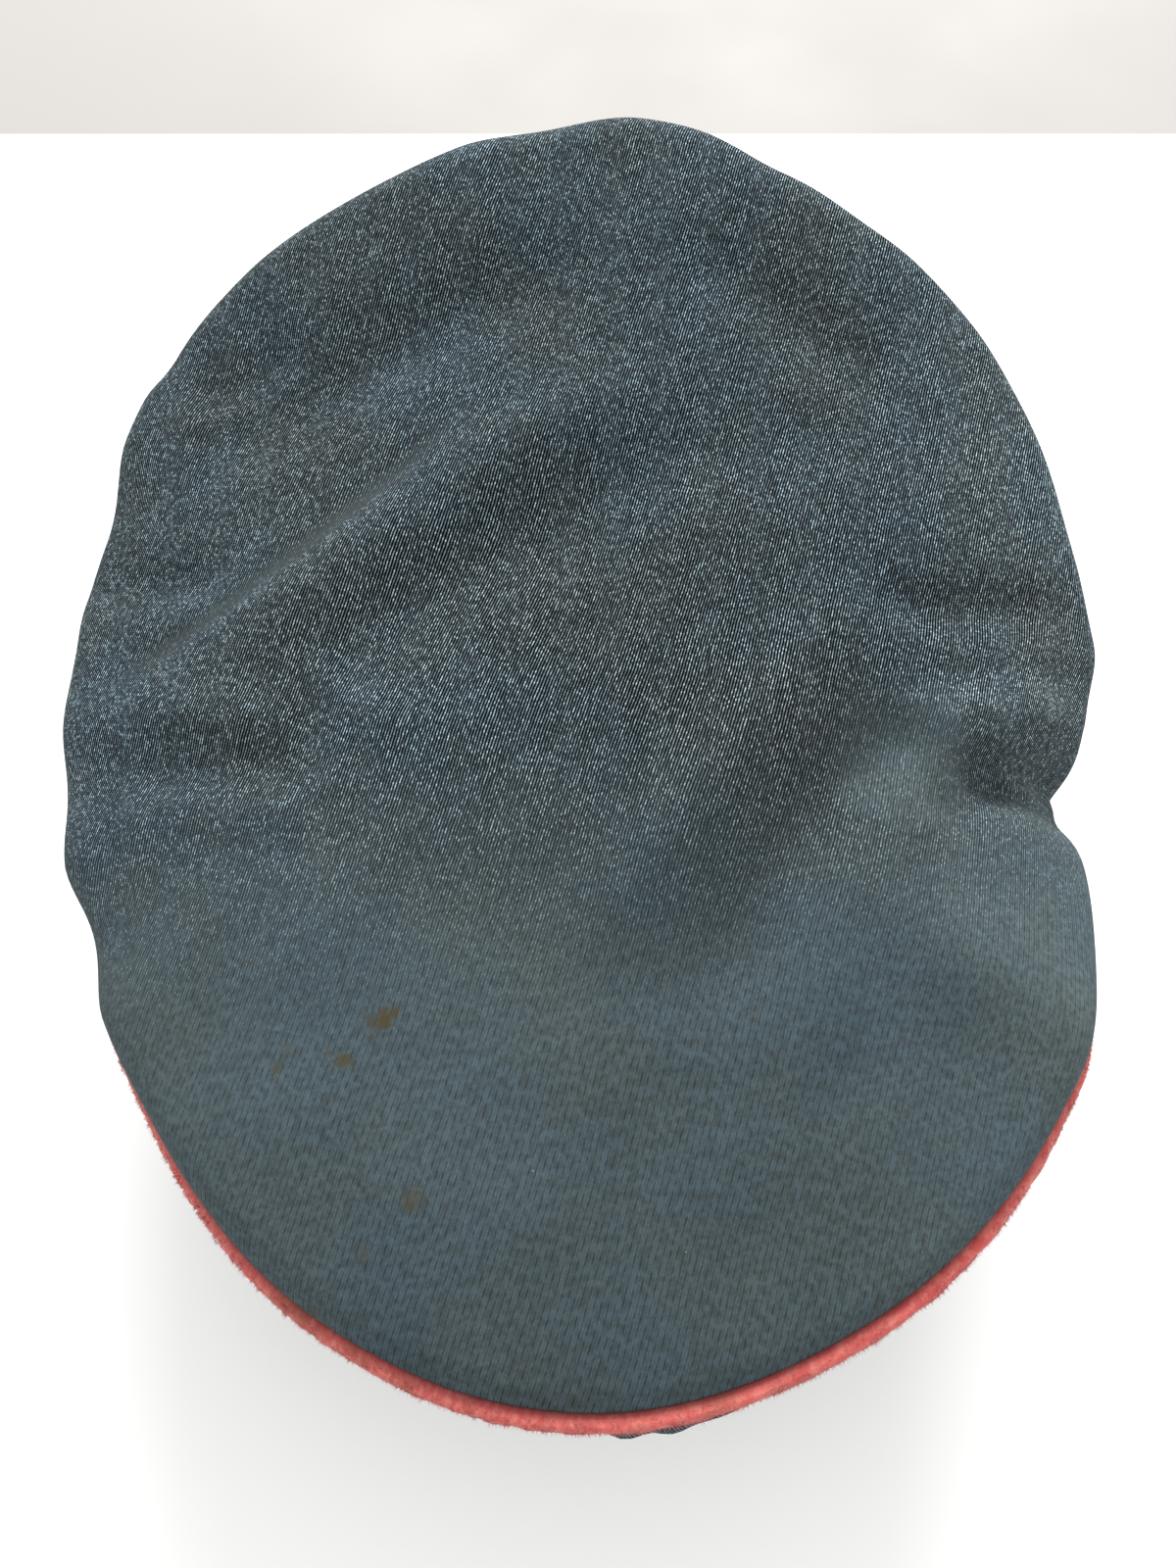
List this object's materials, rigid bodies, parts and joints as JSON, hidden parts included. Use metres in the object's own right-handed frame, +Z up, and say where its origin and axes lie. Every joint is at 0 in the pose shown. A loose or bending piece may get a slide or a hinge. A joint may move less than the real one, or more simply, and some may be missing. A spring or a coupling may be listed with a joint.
{
  "type": "crusher cap",
  "caption": "Soft peaked cap with a slack, folded oval crown of ribbed cloth, a felt welt round the crown's edge, a cloth band and a plain peak. It rests on its band and is worn on the head.",
  "frame": {"origin": "under the middle of the cap's box, on the surface that the cap rests on", "axes": "+Z up, -Y towards the peak and the front, +X towards the wearer's left"},
  "size_m": [0.2522, 0.2964, 0.1282],
  "materials": {
    "crown_cloth": "ribbed twill, blue-grey, worn at its folds",
    "piping_felt": "fuzzy felt, faded red",
    "band_cloth": "plain matt cloth, dark blue-grey",
    "peak_leather": "dark, softly glossy"
  },
  "bodies": {
    "root": {"crown_top": "crown_cloth", "quarter_front_left": "crown_cloth", "quarter_front_right": "crown_cloth", "quarter_back_left": "crown_cloth", "quarter_back_right": "crown_cloth", "crown_piping": "piping_felt", "band": "band_cloth", "peak": "peak_leather"}
  },
  "joints": []
}
